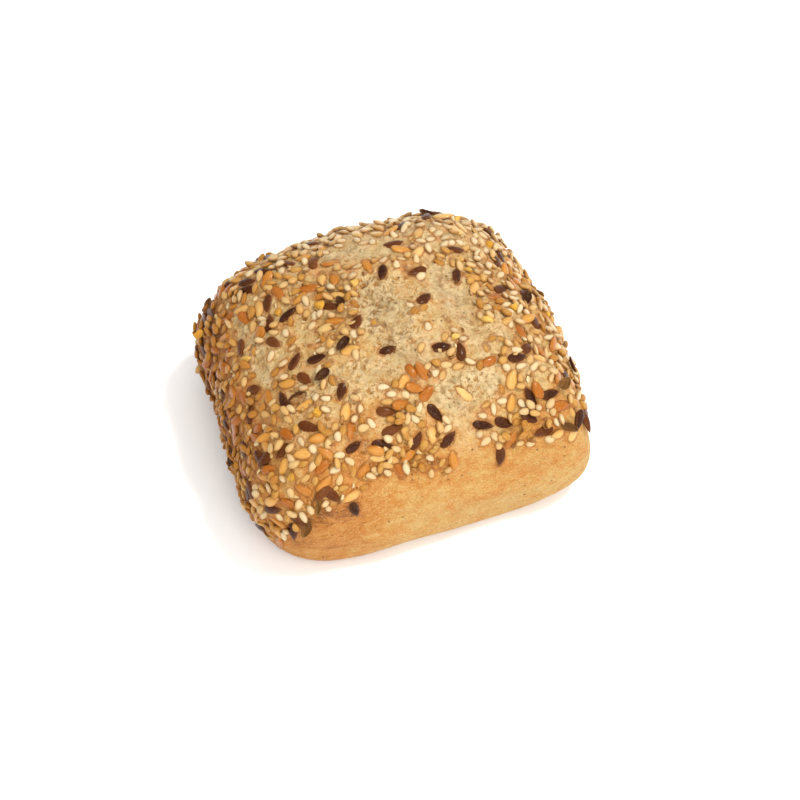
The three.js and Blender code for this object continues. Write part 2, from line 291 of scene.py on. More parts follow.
def bedSeed(kind, angle, turn, lean, point, facing):
    level = np.cross([-math.sin(angle), math.cos(angle), 0], facing)
    level = level / np.linalg.norm(level)
    along = level * math.cos(turn) + np.cross(facing, level) * math.sin(turn)
    outward = facing * math.cos(lean) + np.cross(along, facing) * math.sin(lean)
    half = (kind["length"] - kind["width"]) / 2
    beads = np.array([point + along * half * end for end in (-1, 0, 1)])
    lift = np.zeros(len(beads))
    return {"kind": kind, "beads": beads, "outward": outward, "facing": facing, "lift": lift, "bare": 0}


sown = []
# the same seeds as bare numbers, for quick distances
sownBeads, sownWidths = np.zeros((seedBed["mostSeeds"], 3, 3)), np.zeros(seedBed["mostSeeds"])


def keepSeed(seed):
    sownBeads[len(sown)] = seed["beads"] + seed["facing"] * seed["lift"][:, None]
    sownWidths[len(sown)] = seed["kind"]["width"]
    sown.append(seed)


def closeness(seed):
    # for each bead of the seed, its nearest neighbour's distance beside the room that the two need
    room = (seed["kind"]["width"] + sownWidths[: len(sown)]) / 2
    apart = np.linalg.norm(seed["beads"][:, None, None, :] - sownBeads[None, : len(sown)], axis=-1)
    return (apart / room[None, :, None]).min(axis=(1, 2))


def sow(kind, throws, lands):
    left = kind["count"]
    while left > 0 and throws["next"] < len(throws["angle"]):
        k = throws["next"]
        throws["next"] += 1
        if not throws[lands][k]:
            continue
        seed = bedSeed(kind, *(throws[part][k] for part in ("angle", "turn", "lean", "point", "facing")))
        seed["bare"] = throws["bare"][k]
        close = closeness(seed)
        if close.min() < kind["gap"]:
            continue
        alike = [s["beads"][1] for s in sown if s["kind"] is kind] if "apart" in kind else []
        if any(np.linalg.norm(seed["beads"][1] - other) < kind["apart"] for other in alike):
            continue
        # a seed that lands partly on another tips up over it
        flat = smoothStep(kind["gap"], seedBed["clearGap"], close)
        seed["lift"] = kind["tip"] * kind["thick"] * (1 - flat)
        keepSeed(seed)
        left -= 1
    if left:
        print(f"{left} {kind['name']} seeds found no place")


# Every kind of topping, at true size in mm. The first two with their first counts are also in the solid.
brownLinseed = {
    "name": "brown_linseed", "length": 5.2, "width": 2.6, "thick": 1.2, "count": 66,
    "gap": 0.86, "tip": 0, "sink": (0.3, 0.34),
}
goldenLinseed = {
    "name": "golden_linseed", "length": 4.8, "width": 2.5, "thick": 1.1, "count": 64,
    "gap": 0.86, "tip": 0, "sink": (0.3, 0.36),
}
maizeGrit = {
    "name": "maize_grit", "length": 2.4, "width": 2.0, "thick": 1.7, "count": 20,
    "gap": 0.7, "tip": 0.3, "sink": (0.2, 0.45), "apart": 9,
}
linseedHusk = {
    "name": "linseed_husk", "length": 4.4, "width": 2.3, "thick": 1.0, "count": 11,
    "gap": 0.5, "tip": 1.0, "sink": (-0.05, 0.2),
}
moreGolden = {**goldenLinseed, "count": 130, "gap": 0.6, "tip": 0.9, "sink": (0.3, 0.52)}
sesameSeed = {
    "name": "sesame", "length": 2.9, "width": 1.8, "thick": 1.05, "count": 860,
    "gap": 0.55, "tip": 0.9, "sink": (0.2, 0.48),
}
branCrumb = {
    "name": "bran_crumb", "length": 1.5, "width": 1.1, "thick": 0.6, "count": 330,
    "gap": 0.45, "tip": 0.8, "sink": (0.1, 0.45),
}

# Toppings that stand out at the outline and the corners: kind, degrees round the roll, rise, turn, and lift
# of the three beads
loneToppings = [
    (maizeGrit, 150, 0.0, 20, (1.5, 1.7, 1.9)),
    (linseedHusk, 51, 0.35, 60, (0.1, 0.3, 0.7)),
    (brownLinseed, 46, 0.37, 75, (0.2, 0.3, 0.4)),
    (brownLinseed, 49, 0.43, 10, (0.1, 0.2, 0.3)),
    (brownLinseed, -138, -0.22, 10, (0.2, 0.3, 0.4)),
    (brownLinseed, -136, -0.13, 60, (0.1, 0.2, 0.2)),
    (linseedHusk, -134, -0.17, -15, (0.2, 0.4, 0.5)),
    (brownLinseed, -130, 0.06, -30, (0.3, 0.4, 0.5)),
    (brownLinseed, -127, 0.04, 50, (0.2, 0.2, 0.3)),
    (linseedHusk, -131, -0.02, 10, (0.2, 0.3, 0.5)),
    (brownLinseed, -151, 0.11, 70, (0.2, 0.3, 0.3)),
    (brownLinseed, -149, 0.13, -20, (0.5, 0.6, 0.6)),
    (brownLinseed, -43, -0.01, -60, (0.3, 0.4, 0.4)),
    (brownLinseed, -41, -0.07, -40, (0.3, 0.6, 0.9)),
    (linseedHusk, -46, 0.0, 30, (0.2, 0.3, 0.5)),
]
throws = throwSeeds()
for x, y, turn in eyeCatchers:
    angle, rise = crownAt(x, y)
    point, facing, _ = crustPoint(np.array(angle), np.array(rise))
    keepSeed(bedSeed(brownLinseed, angle, math.radians(turn) - angle, 0, point, facing))
for degrees, rise, turn in loneSeeds:
    angle = math.radians(degrees)
    point, facing, _ = crustPoint(np.array(angle), np.array(rise))
    keepSeed(bedSeed(brownLinseed, angle, math.radians(turn), 0, point, facing))
sow(brownLinseed, throws, "landsBrown")
sow(goldenLinseed, throws, "lands")
for kind, degrees, rise, turn, lift in loneToppings:
    point, facing, _ = crustPoint(np.array(math.radians(degrees)), np.array(rise))
    seed = bedSeed(kind, math.radians(degrees), math.radians(turn), 0, point, facing)
    seed["lift"] = np.array(lift)
    keepSeed(seed)
for kind in (maizeGrit, moreGolden, sesameSeed, linseedHusk, branCrumb):
    sow(kind, throws, "landsLater")
print("seeds sown:", len(sown), "with", throws["next"], "throws")


def meshPiece(name, points, faces, attributes=None):
    mesh = bpy.data.meshes.new(name)
    placed = (np.asarray(points) + np.array(dough["centring"])) * perMm
    mesh.from_pydata(placed.tolist(), [], faces)
    mesh.shade_smooth()
    for label, values in (attributes or {}).items():
        layer = mesh.attributes.new(label, "FLOAT", "POINT")
        layer.data.foreach_set("value", np.asarray(values, dtype=np.float32))
    piece = bpy.data.objects.new(name, mesh)
    bpy.context.scene.collection.objects.link(piece)
    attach(piece, "root")
    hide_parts("bread_roll")
    return piece


def fractalAt(points, size, octaves, offset):
    shifted = points / np.array(size) + offset
    return np.array([noise.fractal(Vector(p), 1.0, 2.0, octaves) for p in shifted])


# The crust's own mesh: a square net over the crown, rows down the sides, and a flat base
crustNet = {
    "crownSquares": 168,
    "crownShare": 0.8,
    "upperRows": 46,
    "lowerRows": 34,
    "baseRings": (0.985, 0.9, 0.5),
}


def layCrustNet():
    squares = crustNet["crownSquares"]
    across = np.linspace(-1, 1, squares + 1)
    u, v = np.meshgrid(across, across)
    share = np.maximum(np.abs(u), np.abs(v)) * crustNet["crownShare"]
    swing = np.arccos(share ** (dough["crownPower"] / 2))
    angle = np.arctan2(v * dough["width"], u * dough["length"]).ravel()
    rise = (dough["widestRise"] + swing / quarterTurn * (1 - dough["widestRise"])).ravel()
    side = squares + 1
    faces = [
        (j * side + i, j * side + i + 1, (j + 1) * side + i + 1, (j + 1) * side + i)
        for j in range(squares)
        for i in range(squares)
    ]
    ring = [j * side + squares for j in range(squares)]
    ring += [squares * side + i for i in range(squares, 0, -1)]
    ring += [j * side for j in range(squares, 0, -1)]
    ring += [i for i in range(squares)]
    edgeAngle, edgeRise = angle[ring], rise[ring[0]]
    upper = np.linspace(edgeRise, dough["widestRise"], crustNet["upperRows"] + 1)[1:]
    lower = np.linspace(dough["widestRise"], dough["footRise"], crustNet["lowerRows"] + 1)[1:]
    inner = [-1 + (1 + dough["footRise"]) * s for s in crustNet["baseRings"]]
    count = side * side
    angles, rises, last = [angle], [rise], ring
    for rowRise in [*upper, *lower, *inner]:
        row = list(range(count, count + len(ring)))
        angles.append(edgeAngle)
        rises.append(np.full(len(ring), rowRise))
        following = [(i + 1) % len(row) for i in range(len(row))]
        faces += [(last[i], row[i], row[j], last[j]) for i, j in enumerate(following)]
        count += len(row)
        last = row
    angles.append(np.array([0.0]))
    rises.append(np.array([-1.0]))
    faces += [(last[i], count, last[(i + 1) % len(last)]) for i in range(len(last))]
    return np.concatenate(angles), np.concatenate(rises), faces


# What the dough's skin does between the seeds, in mm. The crown is torn open and full of small pits, the side
# below the seeds is drawn tight with faint level wrinkles, and the skin climbs a little way up each seed.
crustLook = {
    # heights between which each kind of skin comes in
    "bandHeights": (31, 26),
    "roughHeights": (30, 38),
    "crownHeights": (30, 41),
    "spotHeights": (24, 32),
    "heldHeights": (0.5, 5),
    # noises of the skin: size, height, octaves, where the noise starts
    "grain": (2.6, 0.16, 3, 7.3),
    "crags": (3.6, 0.32, 4, 40.2),
    "wrinkle": ((6, 6, 1.1), 0.07, 3, 3.1),
    "pits": (1.2, 0.3, 3, 63.9),
    "ridges": (2.1, 0.3, 4, 5.1),
    "mottle": (3.4, 1, 3, 31.4),
    "blotch": (11, 1, 2, 11.9),
    # ridged noise: how fast it fades and refines, its offset and gain, and the span that is kept
    "ridgeNoise": (0.9, 2.1, 1.0, 2.0),
    "ridgeSpan": (0.55, 1.6),
    "ridgeMiddle": 0.6,
    "ridgeShares": (0.3, 0.7, 0.3),  # everywhere, where rough, on the crown
    "calm": {"grainBand": 0.6, "grainSmooth": 0.5, "smooth": 0.85, "crags": 0.35},
    "crack": (0.55, 0.35),
    "crackWander": 0.8,
    "crackSpan": (-0.35, 0.1),
    "pitSpan": (0.05, 0.6),
    "pitInCrease": (0.6, 0.9),
    "craters": 34,
    "craterDraws": (77, 400),
    "craterField": (26, 28),
    "craterMostSeeded": 0.45,
    "craterRadius": (0.3, 0.8),
    "craterDepth": 0.5,
    "craterRim": (0.16, 1.35, 0.45),  # height, then distance and width beside the radius
    "skinClimb": 0.26,
    "skinReach": 0.65,
    "climbReaches": 1.8,
    "mostLiftClimbed": 0.2,
    "smoothPatch": ((14.5, 1.5), (4.6, 11)),
    # how toasted, from 0 for pale to 1 for scorched: everywhere, and what each place adds. The left side's
    # share is painted shade, and the band's foot is paler partly as painted light from the floor.
    "toast": {
        "everywhere": 0.58, "crown": -0.28, "bareCrown": -0.1, "blotch": 0.16, "mottle": 0.17,
        "mottleBand": 0.6, "lips": 0.2, "leftSideShade": 0.3, "band": -0.07, "bandFoot": -0.14, "bandLeft": 0.27,
    },
    "toastHeights": (25, 38),
    "footHeights": (22, 8),
    "bandLeftSpan": (-4, -30),
    "leftSpan": (-20, -38),
    "leftHeights": (43, 28),
    "leftFront": (-30, -12),
    "leftShares": (0.95, 0.05),  # at the back of that side, and added all along it
    "patchSpan": (-0.3, 0.4),
    "flour": (0.3, 0.75, 0.8),  # on the rough crown, then how even it lies and how mottled
    "torn": {"crown": 0.4, "rough": 0.4, "lace": 0.5},
    "paleSpots": [
        ((15, 2), (4.5, 12), 0.85),
        ((16, -17), (3.5, 9), 0.7),
        ((1, 21), (9, 4), 0.6),
        ((8, -28), (5, 7), 0.75),
        ((-5, 1), (3.5, 9), 0.3),
        ((5, -14), (9, 8), 0.55),
        ((14, 28), (24, 12), 0.9),
    ],
    "goldSpots": [
        ((-14, -20), (11, 7), 0.2),
        ((7, 8), (4, 5), 0.34),
        ((-25, -5), (9, 14), 0.06),
        ((24, -14), (5, 7), 0.12),
        ((-20, -30), (12, 7), 0.24),
        ((28, 8), (8, 14), 0.08),
    ],
    "lace": [((-4, 1), (4.5, 11), 0.9), ((7, -13), (9, 3), 0.5), ((14, -24), (3, 5), 0.3)],
    "laceElsewhere": 0.15,
}


def skinNoise(points, name):
    size, height, octaves, start = crustLook[name]
    return height * fractalAt(points, size, octaves, start)


def spotShare(points, at, reach):
    return np.exp(-(((points[:, 0] - at[0]) / reach[0]) ** 2) - ((points[:, 1] - at[1]) / reach[1]) ** 2)


def leftShadeShare(points):
    # the left side, darker as painted shade, least so at its front end
    aside = smoothStep(*crustLook["leftSpan"], points[:, 0])
    aside = aside * smoothStep(*crustLook["leftHeights"], points[:, 2])
    atBack, allAlong = crustLook["leftShares"]
    return aside * (atBack * smoothStep(*crustLook["leftFront"], points[:, 1]) + allAlong)


def openCraters(points):
    # small bubbles that broke open on the bare crown; the fourth draw of each is spare
    start, most = crustLook["craterDraws"]
    smallest, largest = crustLook["craterRadius"]
    rimHeight, rimAt, rimWidth = crustLook["craterRim"]
    relief, pit = np.zeros(len(points)), np.zeros(len(points))
    found = 0
    for across, along, size, _ in drawRow(start, 4 * most).reshape(-1, 4):
        angle, rise = crownAt(
            (2 * across - 1) * crustLook["craterField"][0], (2 * along - 1) * crustLook["craterField"][1]
        )
        middle = crustPoint(np.array(angle), np.array(rise))[0]
        if seedCover(middle, seedBed["patches"]) > crustLook["craterMostSeeded"]:
            continue
        radius = smallest + size * (largest - smallest)
        away = np.linalg.norm(points - middle, axis=1)
        inside = np.exp(-((away / radius) ** 4))
        relief -= crustLook["craterDepth"] * inside * min(1, radius)
        relief += rimHeight * np.exp(-(((away - rimAt * radius) / (rimWidth * radius)) ** 2))
        pit = np.maximum(pit, inside)
        found += 1
        if found == crustLook["craters"]:
            break
    return relief, pit


def dressCrust(points, facing):
    look, calm, add = crustLook, crustLook["calm"], crustLook["toast"]
    z = points[:, 2]
    bare = 1 - seedCover(points, seedBed["patches"])
    band = smoothStep(*look["bandHeights"], z) * bare
    smooth = spotShare(points, *look["smoothPatch"])
    rough = bare * smoothStep(*look["roughHeights"], z) * (1 - calm["smooth"] * smooth)
    onCrown = smoothStep(*look["crownHeights"], z)

    # relief
    relief = skinNoise(points, "grain") * (1 - calm["grainBand"] * band - calm["grainSmooth"] * smooth)
    relief += skinNoise(points, "crags") * (calm["crags"] + rough) * (1 - band)
    size, height, octaves, start = look["ridges"]
    fade, finer, offset, gain = look["ridgeNoise"]
    shifted = points / size + start
    ridge = [noise.ridged_multi_fractal(Vector(p), fade, finer, octaves, offset, gain) for p in shifted]
    ridge = smoothStep(*look["ridgeSpan"], np.array(ridge))
    always, whereRough, whereCrown = look["ridgeShares"]
    ridged = always + whereRough * rough + whereCrown * onCrown
    relief += height * (ridge - look["ridgeMiddle"]) * ridged * (1 - band)
    relief += skinNoise(points, "wrinkle") * band

    # pits, cracks and craters
    lace = look["laceElsewhere"] * rough
    for at, reach, share in look["lace"]:
        lace = np.maximum(lace, share * spotShare(points, at, reach) * rough)
    size, pitDepth, octaves, start = look["pits"]
    pit = smoothStep(*look["pitSpan"], fractalAt(points, size, octaves, start)) * lace
    mottle = skinNoise(points, "mottle")
    crackWidth, crackDepth = look["crack"]
    deep, lips, crack = 0 * z, 0 * z, 0 * z
    for crease in dough["creases"]:
        inCrease, onLip = creaseShares(points, crease)
        deep, lips = np.maximum(deep, inCrease), np.maximum(lips, onLip)
        split = creaseShares(points + look["crackWander"] * mottle[:, None], (*crease[:2], crackWidth))[0]
        crack = np.maximum(crack, split * smoothStep(*look["crackSpan"], mottle))
    outside, inside = look["pitInCrease"]
    pit = np.clip(pit * (outside + inside * deep), 0, 1)
    relief -= pitDepth * pit + crackDepth * crack
    craterRelief, craterPit = openCraters(points)
    relief += craterRelief

    # how toasted and how floury
    blotch = skinNoise(points, "blotch")
    toast = add["everywhere"] + add["crown"] * smoothStep(*look["toastHeights"], z)
    toast += add["bareCrown"] * bare * onCrown + add["blotch"] * blotch * (1 - band)
    toast += add["mottle"] * mottle * (1 - add["mottleBand"] * band)
    toast += add["lips"] * lips * smoothStep(*look["patchSpan"], mottle)
    # painted shade: the left side darker
    toast += add["leftSideShade"] * leftShadeShare(points)
    # the band paler at its foot: partly its own colour, partly painted light from the floor
    foot = add["bandFoot"] * smoothStep(*look["footHeights"], z)
    left = add["bandLeft"] * smoothStep(*look["bandLeftSpan"], points[:, 0])
    toast += band * (add["band"] + foot + left)
    spotHeight = smoothStep(*look["spotHeights"], z)
    onRough, even, mottled = look["flour"]
    flour = onRough * rough * smoothStep(*look["patchSpan"], blotch)
    for at, reach, share in look["paleSpots"]:
        flour = np.maximum(flour, share * spotShare(points, at, reach) * spotHeight)
    for at, reach, share in look["goldSpots"]:
        toast += share * spotShare(points, at, reach) * spotHeight
    tears = look["torn"]
    torn = tears["crown"] * onCrown * (1 - band) + tears["rough"] * rough + tears["lace"] * lace
    looks = {
        "toast": np.clip(toast, 0, 1),
        "flour": np.clip(flour * (even + mottled * mottle), 0, 1),
        # the pit share darkens the colour there as painted shade
        "pit": np.clip(np.maximum(np.maximum(pit, craterPit), crack), 0, 1),
        "band": band,
        "torn": np.clip(torn, 0, 1),
        "ridge": ridge,
    }
    return points + facing * (relief * smoothStep(*look["heldHeights"], z))[:, None], looks


def climbSeeds(points, facing):
    tree = kdtree.KDTree(len(points))
    for i, p in enumerate(points):
        tree.insert(p, i)
    tree.balance()
    climb = np.zeros(len(points))
    farthest = crustLook["climbReaches"] * crustLook["skinReach"]
    for seed in sown:
        radius = seed["kind"]["width"] / 2
        for bead, lift in zip(seed["beads"], seed["lift"]):
            if lift < crustLook["mostLiftClimbed"]:
                for _, i, away in tree.find_range(Vector(bead), radius + farthest):
                    out = max(0.0, away - radius) / crustLook["skinReach"]
                    climb[i] = max(climb[i], math.exp(-out * out))
    return points + facing * (crustLook["skinClimb"] * climb)[:, None], climb


def makeCrust():
    angle, rise, faces = layCrustNet()
    points, facing, _ = crustPoint(angle, rise)
    points, looks = dressCrust(points, facing)
    points, looks["nearSeed"] = climbSeeds(points, facing)
    points[rise <= dough["footRise"], 2] = 0
    return meshPiece("crust", points, faces, looks)


crustPiece = makeCrust()
print("crust laid:", len(crustPiece.data.vertices), "points")


# What the toppings' forms share: the start of a wave anywhere round a seed, how full a seed stays towards its
# ends, how soon its beak bends aside, and how wide a ball of radius 1 is once its faces are cut
formLook = {"anyTurn": (0, 6.3), "fullness": 0.65, "beakBend": 4, "cutBall": 1.6}


# The seeds' own forms, each lying along X with its point at +X. No two of a kind are quite alike.
def dropForm(kind, draw, look):
    rows, sides = look["rows"], look["sides"]
    turn = np.linspace(0, math.pi, rows + 1)[:, None]
    spin = np.linspace(0, 2 * math.pi, sides, endpoint=False)[None, :]
    beak = draw.uniform(*look["beak"])
    pointed = 1 - look["point"] * np.exp(-((turn / look["pointReach"]) ** 2))
    lengthwise = np.sin(2 * turn + draw.uniform(*formLook["anyTurn"]))
    dent = 1 + look["dent"] * lengthwise * np.sin(spin + draw.uniform(*formLook["anyTurn"]))
    halfWidth = np.sin(turn) * (1 - seedBed["taper"] * np.cos(turn)) * pointed * kind["width"] / 2 * dent
    halfThick = np.sin(turn) ** formLook["fullness"] * pointed * kind["thick"] / 2 * dent
    x = np.cos(turn) * kind["length"] / 2 + 0 * spin
    y = halfWidth * np.cos(spin) + beak * kind["width"] * np.maximum(np.cos(turn), 0) ** formLook["beakBend"]
    z = halfThick * np.sign(np.sin(spin)) * np.abs(np.sin(spin)) ** look["lens"]
    z = z + draw.uniform(-1, 1) * look["bend"] * kind["thick"] * np.cos(turn) ** 2
    points = np.stack([x, y, z], -1)
    tips = points[[0, -1], 0]
    points = np.concatenate([points[1:-1].reshape(-1, 3), tips])
    faces = []
    for j in range(rows - 2):
        for i in range(sides):
            k = (i + 1) % sides
            faces.append((j * sides + i, (j + 1) * sides + i, (j + 1) * sides + k, j * sides + k))
    tip, end = len(points) - 2, len(points) - 1
    last = (rows - 2) * sides
    faces += [(tip, i, (i + 1) % sides) for i in range(sides)]
    faces += [(end, last + (i + 1) % sides, last + i) for i in range(sides)]
    return points, faces


def chipForm(kind, draw, look):
    # a chip of grain: a ball with faces cut off at random
    ball = bmesh.new()
    bmesh.ops.create_icosphere(ball, subdivisions=look["fineness"], radius=1)
    points = np.array([v.co[:] for v in ball.verts])
    faces = [tuple(v.index for v in f.verts) for f in ball.faces]
    ball.free()
    for _ in range(look["cuts"]):
        normal = draw.normal(size=3)
        normal /= np.linalg.norm(normal)
        cut = draw.uniform(*look["cutAt"])
        points = points - np.maximum(points @ normal - cut, 0)[:, None] * normal
    return points * np.array([kind["length"], kind["width"], kind["thick"]]) / formLook["cutBall"], faces


def huskForm(kind, draw, look):
    # half a seed coat: an open shell with a thin wall, torn at its rim, hollow side up
    rows, sides = look["rows"], look["sides"]
    turn = np.linspace(*look["ends"], rows + 1)[:, None] * math.pi
    (tear, waves), (fineTear, fineWaves) = look["tears"]
    torn = tear * np.sin(waves * turn + draw.uniform(*formLook["anyTurn"]))
    torn = torn + fineTear * np.sin(fineWaves * turn)
    spin = math.pi * (1.5 + np.linspace(-look["halfOpen"], look["halfOpen"], sides + 1)[None, :] * (1 + torn))
    shells = []
    for wall in (1.0, look["wall"]):
        halfWidth = np.sin(turn) * (1 - seedBed["taper"] * np.cos(turn)) * kind["width"] / 2 * wall
        x = np.cos(turn) * kind["length"] / 2 * (look["wallEnds"] * wall if wall < 1 else 1) + 0 * spin
        y = halfWidth * np.cos(spin)
        z = np.sin(turn) ** look["fullness"] * kind["thick"] * look["depth"] * np.sin(spin) * wall
        z = z + look["raised"] * kind["thick"]
        shells.append(np.stack([x, y, z], -1).reshape(-1, 3))
    points = np.concatenate(shells)
    width, size = sides + 1, (rows + 1) * (sides + 1)
    faces = []
    for j in range(rows):
        for i in range(sides):
            a, b, c, d = j * width + i, j * width + i + 1, (j + 1) * width + i + 1, (j + 1) * width + i
            faces += [(a, d, c, b), (size + a, size + b, size + c, size + d)]
    rim = [i for i in range(width)] + [j * width + sides for j in range(1, rows + 1)]
    rim += [rows * width + i for i in range(sides - 1, -1, -1)] + [j * width for j in range(rows - 1, 0, -1)]
    for i, a in enumerate(rim):
        b = rim[(i + 1) % len(rim)]
        faces.append((a, b, size + b, size + a))
    return points, faces


# the back of the roll, where the toppings are paler as painted sheen: from and to, towards the back and
# from left to right
backSheenSpan = {"away": (8, 30), "right": (-25, 5)}


def joinSeeds(look):
    draw = np.random.default_rng(look["seed"])
    allPoints, allFaces, tones, alongs, ups, rounds = [], [], [], [], [], []
    count = 0
    for seed in sown:
        kind = seed["kind"]
        if kind["name"] != look["kind"]:
            continue
        points, faces = look["form"](kind, draw, look)
        # the seed's own frame: along it, across it and up
        size = (1 + look["spread"] * draw.uniform(-1, 1, 3)) * np.array([1, look.get("slim", 1), 1])
        flip = 1 if draw.random() < 0.5 else -1
        lifted = seed["beads"] + seed["facing"] * seed["lift"][:, None]
        along = lifted[2] - lifted[0]
        along = along / np.linalg.norm(along)
        side = np.cross(seed["outward"], along)
        side = side / np.linalg.norm(side)
        up = np.cross(along, side)
        roll = draw.uniform(-1, 1) * look["roll"]
        side, up = side * math.cos(roll) + up * math.sin(roll), up * math.cos(roll) - side * math.sin(roll)
        sink = draw.uniform(*kind["sink"]) + look.get("deeperWhereBare", 0) * seed["bare"]
        middle = lifted.mean(0) + seed["facing"] * kind["thick"] * (0.5 - sink)
        local = points * size * np.array([1, flip, 1])
        allPoints.append(middle + local @ np.array([along, side, up]))
        allFaces += [tuple(i + count for i in (f if flip > 0 else f[::-1])) for f in faces]
        count += len(points)
        # painted shade: the seed darker on the left side
        shadedLeft = look.get("leftShade", 0) * leftShadeShare(middle[None])[0]
        # painted sheen: the seed paler at the back
        atBack = smoothStep(*backSheenSpan["away"], middle[1]) * smoothStep(*backSheenSpan["right"], middle[0])
        sheenAtBack = look.get("backSheen", 0) * float(atBack)
        tones.append(np.full(len(points), draw.random() - shadedLeft + sheenAtBack))
        alongs.append(points[:, 0] / kind["length"] + 0.5)
        ups.append(points[:, 2] / kind["thick"] + 0.5)
        rounds.append(np.arctan2(points[:, 1], points[:, 2] + 1e-6))
    looks = {"tone": tones, "alongSeed": alongs, "upSeed": ups, "roundSeed": rounds}
    looks = {name: np.concatenate(values) for name, values in looks.items()}
    piece = meshPiece(look["kind"] + "s", np.concatenate(allPoints), allFaces, looks)
    print(look["kind"], len(tones), "seeds,", len(allFaces), "faces")
    return piece


# How each kind is made: its form and where that varies, how each seed tilts and differs in size, how much
# deeper it lies on the bare crown, how much darker it is on the left side as painted shade, and how much
# paler at the back as painted sheen
toppings = {
    "brown": {
        "kind": "brown_linseed", "slot": "brown_linseed", "form": dropForm, "seed": 11,
        "rows": 18, "sides": 16, "beak": (0.02, 0.14), "point": 0.85, "pointReach": 0.75, "lens": 1.2,
        "dent": 0.06, "bend": 0.15, "spread": 0.08, "roll": 0.15, "slim": 0.9,
    },
    "golden": {
        "kind": "golden_linseed", "slot": "golden_linseed", "form": dropForm, "seed": 12,
        "rows": 16, "sides": 14, "beak": (0.02, 0.12), "point": 0.75, "pointReach": 0.6, "lens": 1.0,
        "dent": 0.06, "bend": 0.15, "spread": 0.09, "roll": 0.2,
        "deeperWhereBare": 0.2, "leftShade": 0.7, "backSheen": 0.9,
    },
    "sesame": {
        "kind": "sesame", "slot": "sesame", "form": dropForm, "seed": 13,
        "rows": 10, "sides": 10, "beak": (-0.04, 0.04), "point": 0.75, "pointReach": 0.62, "lens": 0.85,
        "dent": 0.08, "bend": 0.12, "spread": 0.12, "roll": 0.4,
        "deeperWhereBare": 0.25, "leftShade": 0.7, "backSheen": 0.9,
    },
    "grit": {
        "kind": "maize_grit", "slot": "maize_grit", "form": chipForm, "seed": 14,
        "fineness": 3, "cuts": 9, "cutAt": (0.45, 0.8), "spread": 0.2, "roll": 1.5,
    },
    "crumb": {
        "kind": "bran_crumb", "slot": "crust", "form": chipForm, "seed": 16,
        "fineness": 2, "cuts": 5, "cutAt": (0.3, 0.75), "spread": 0.4, "roll": 0.7,
    },
    "husk": {
        "kind": "linseed_husk", "slot": "brown_linseed", "form": huskForm, "seed": 15,
        "rows": 14, "sides": 10, "ends": (0.04, 0.94), "halfOpen": 0.46, "tears": ((0.07, 5), (0.04, 11)),
        "wall": 0.9, "wallEnds": 1.02, "fullness": 0.7, "depth": 0.9, "raised": 0.3,
        "spread": 0.15, "roll": 0.5,
    },
}
seedPieces = {name: joinSeeds(look) for name, look in toppings.items()}


# Materials
def linear(hexColour):
    channels = [int(hexColour[i : i + 2], 16) / 255 for i in (1, 3, 5)]
    return [c / 12.92 if c <= 0.04045 else ((c + 0.055) / 1.055) ** 2.4 for c in channels] + [1]


def addNode(material, kind, inputs=None, output=0, stops=None, **settings):
    node = material.node_tree.nodes.new(kind)
    for name, value in settings.items():
        setattr(node, name, value)
    for socket, value in (inputs or {}).items():
        if isinstance(value, bpy.types.NodeSocket):
            material.node_tree.links.new(value, node.inputs[socket])
        else:
            node.inputs[socket].default_value = value
    for i, (place, colour) in enumerate(stops or []):
        ramp = node.color_ramp
        stop = ramp.elements[i] if i < len(ramp.elements) else ramp.elements.new(place)
        stop.position, stop.color = place, linear(colour)
    return node.outputs[output] if node.outputs else node


def newMaterial(name):
    material = bpy.data.materials.new(name)
    material.use_nodes = True
    material.node_tree.nodes.clear()
    return material


def finishMaterial(material, piece, sockets):
    shader = addNode(material, "ShaderNodeBsdfPrincipled", sockets)
    addNode(material, "ShaderNodeOutputMaterial", {"Surface": shader})
    piece.data.materials.append(material)


def scaleFor(size):
    return 1000 / size  # texture scale for a feature of that many mm, on coordinates in metres
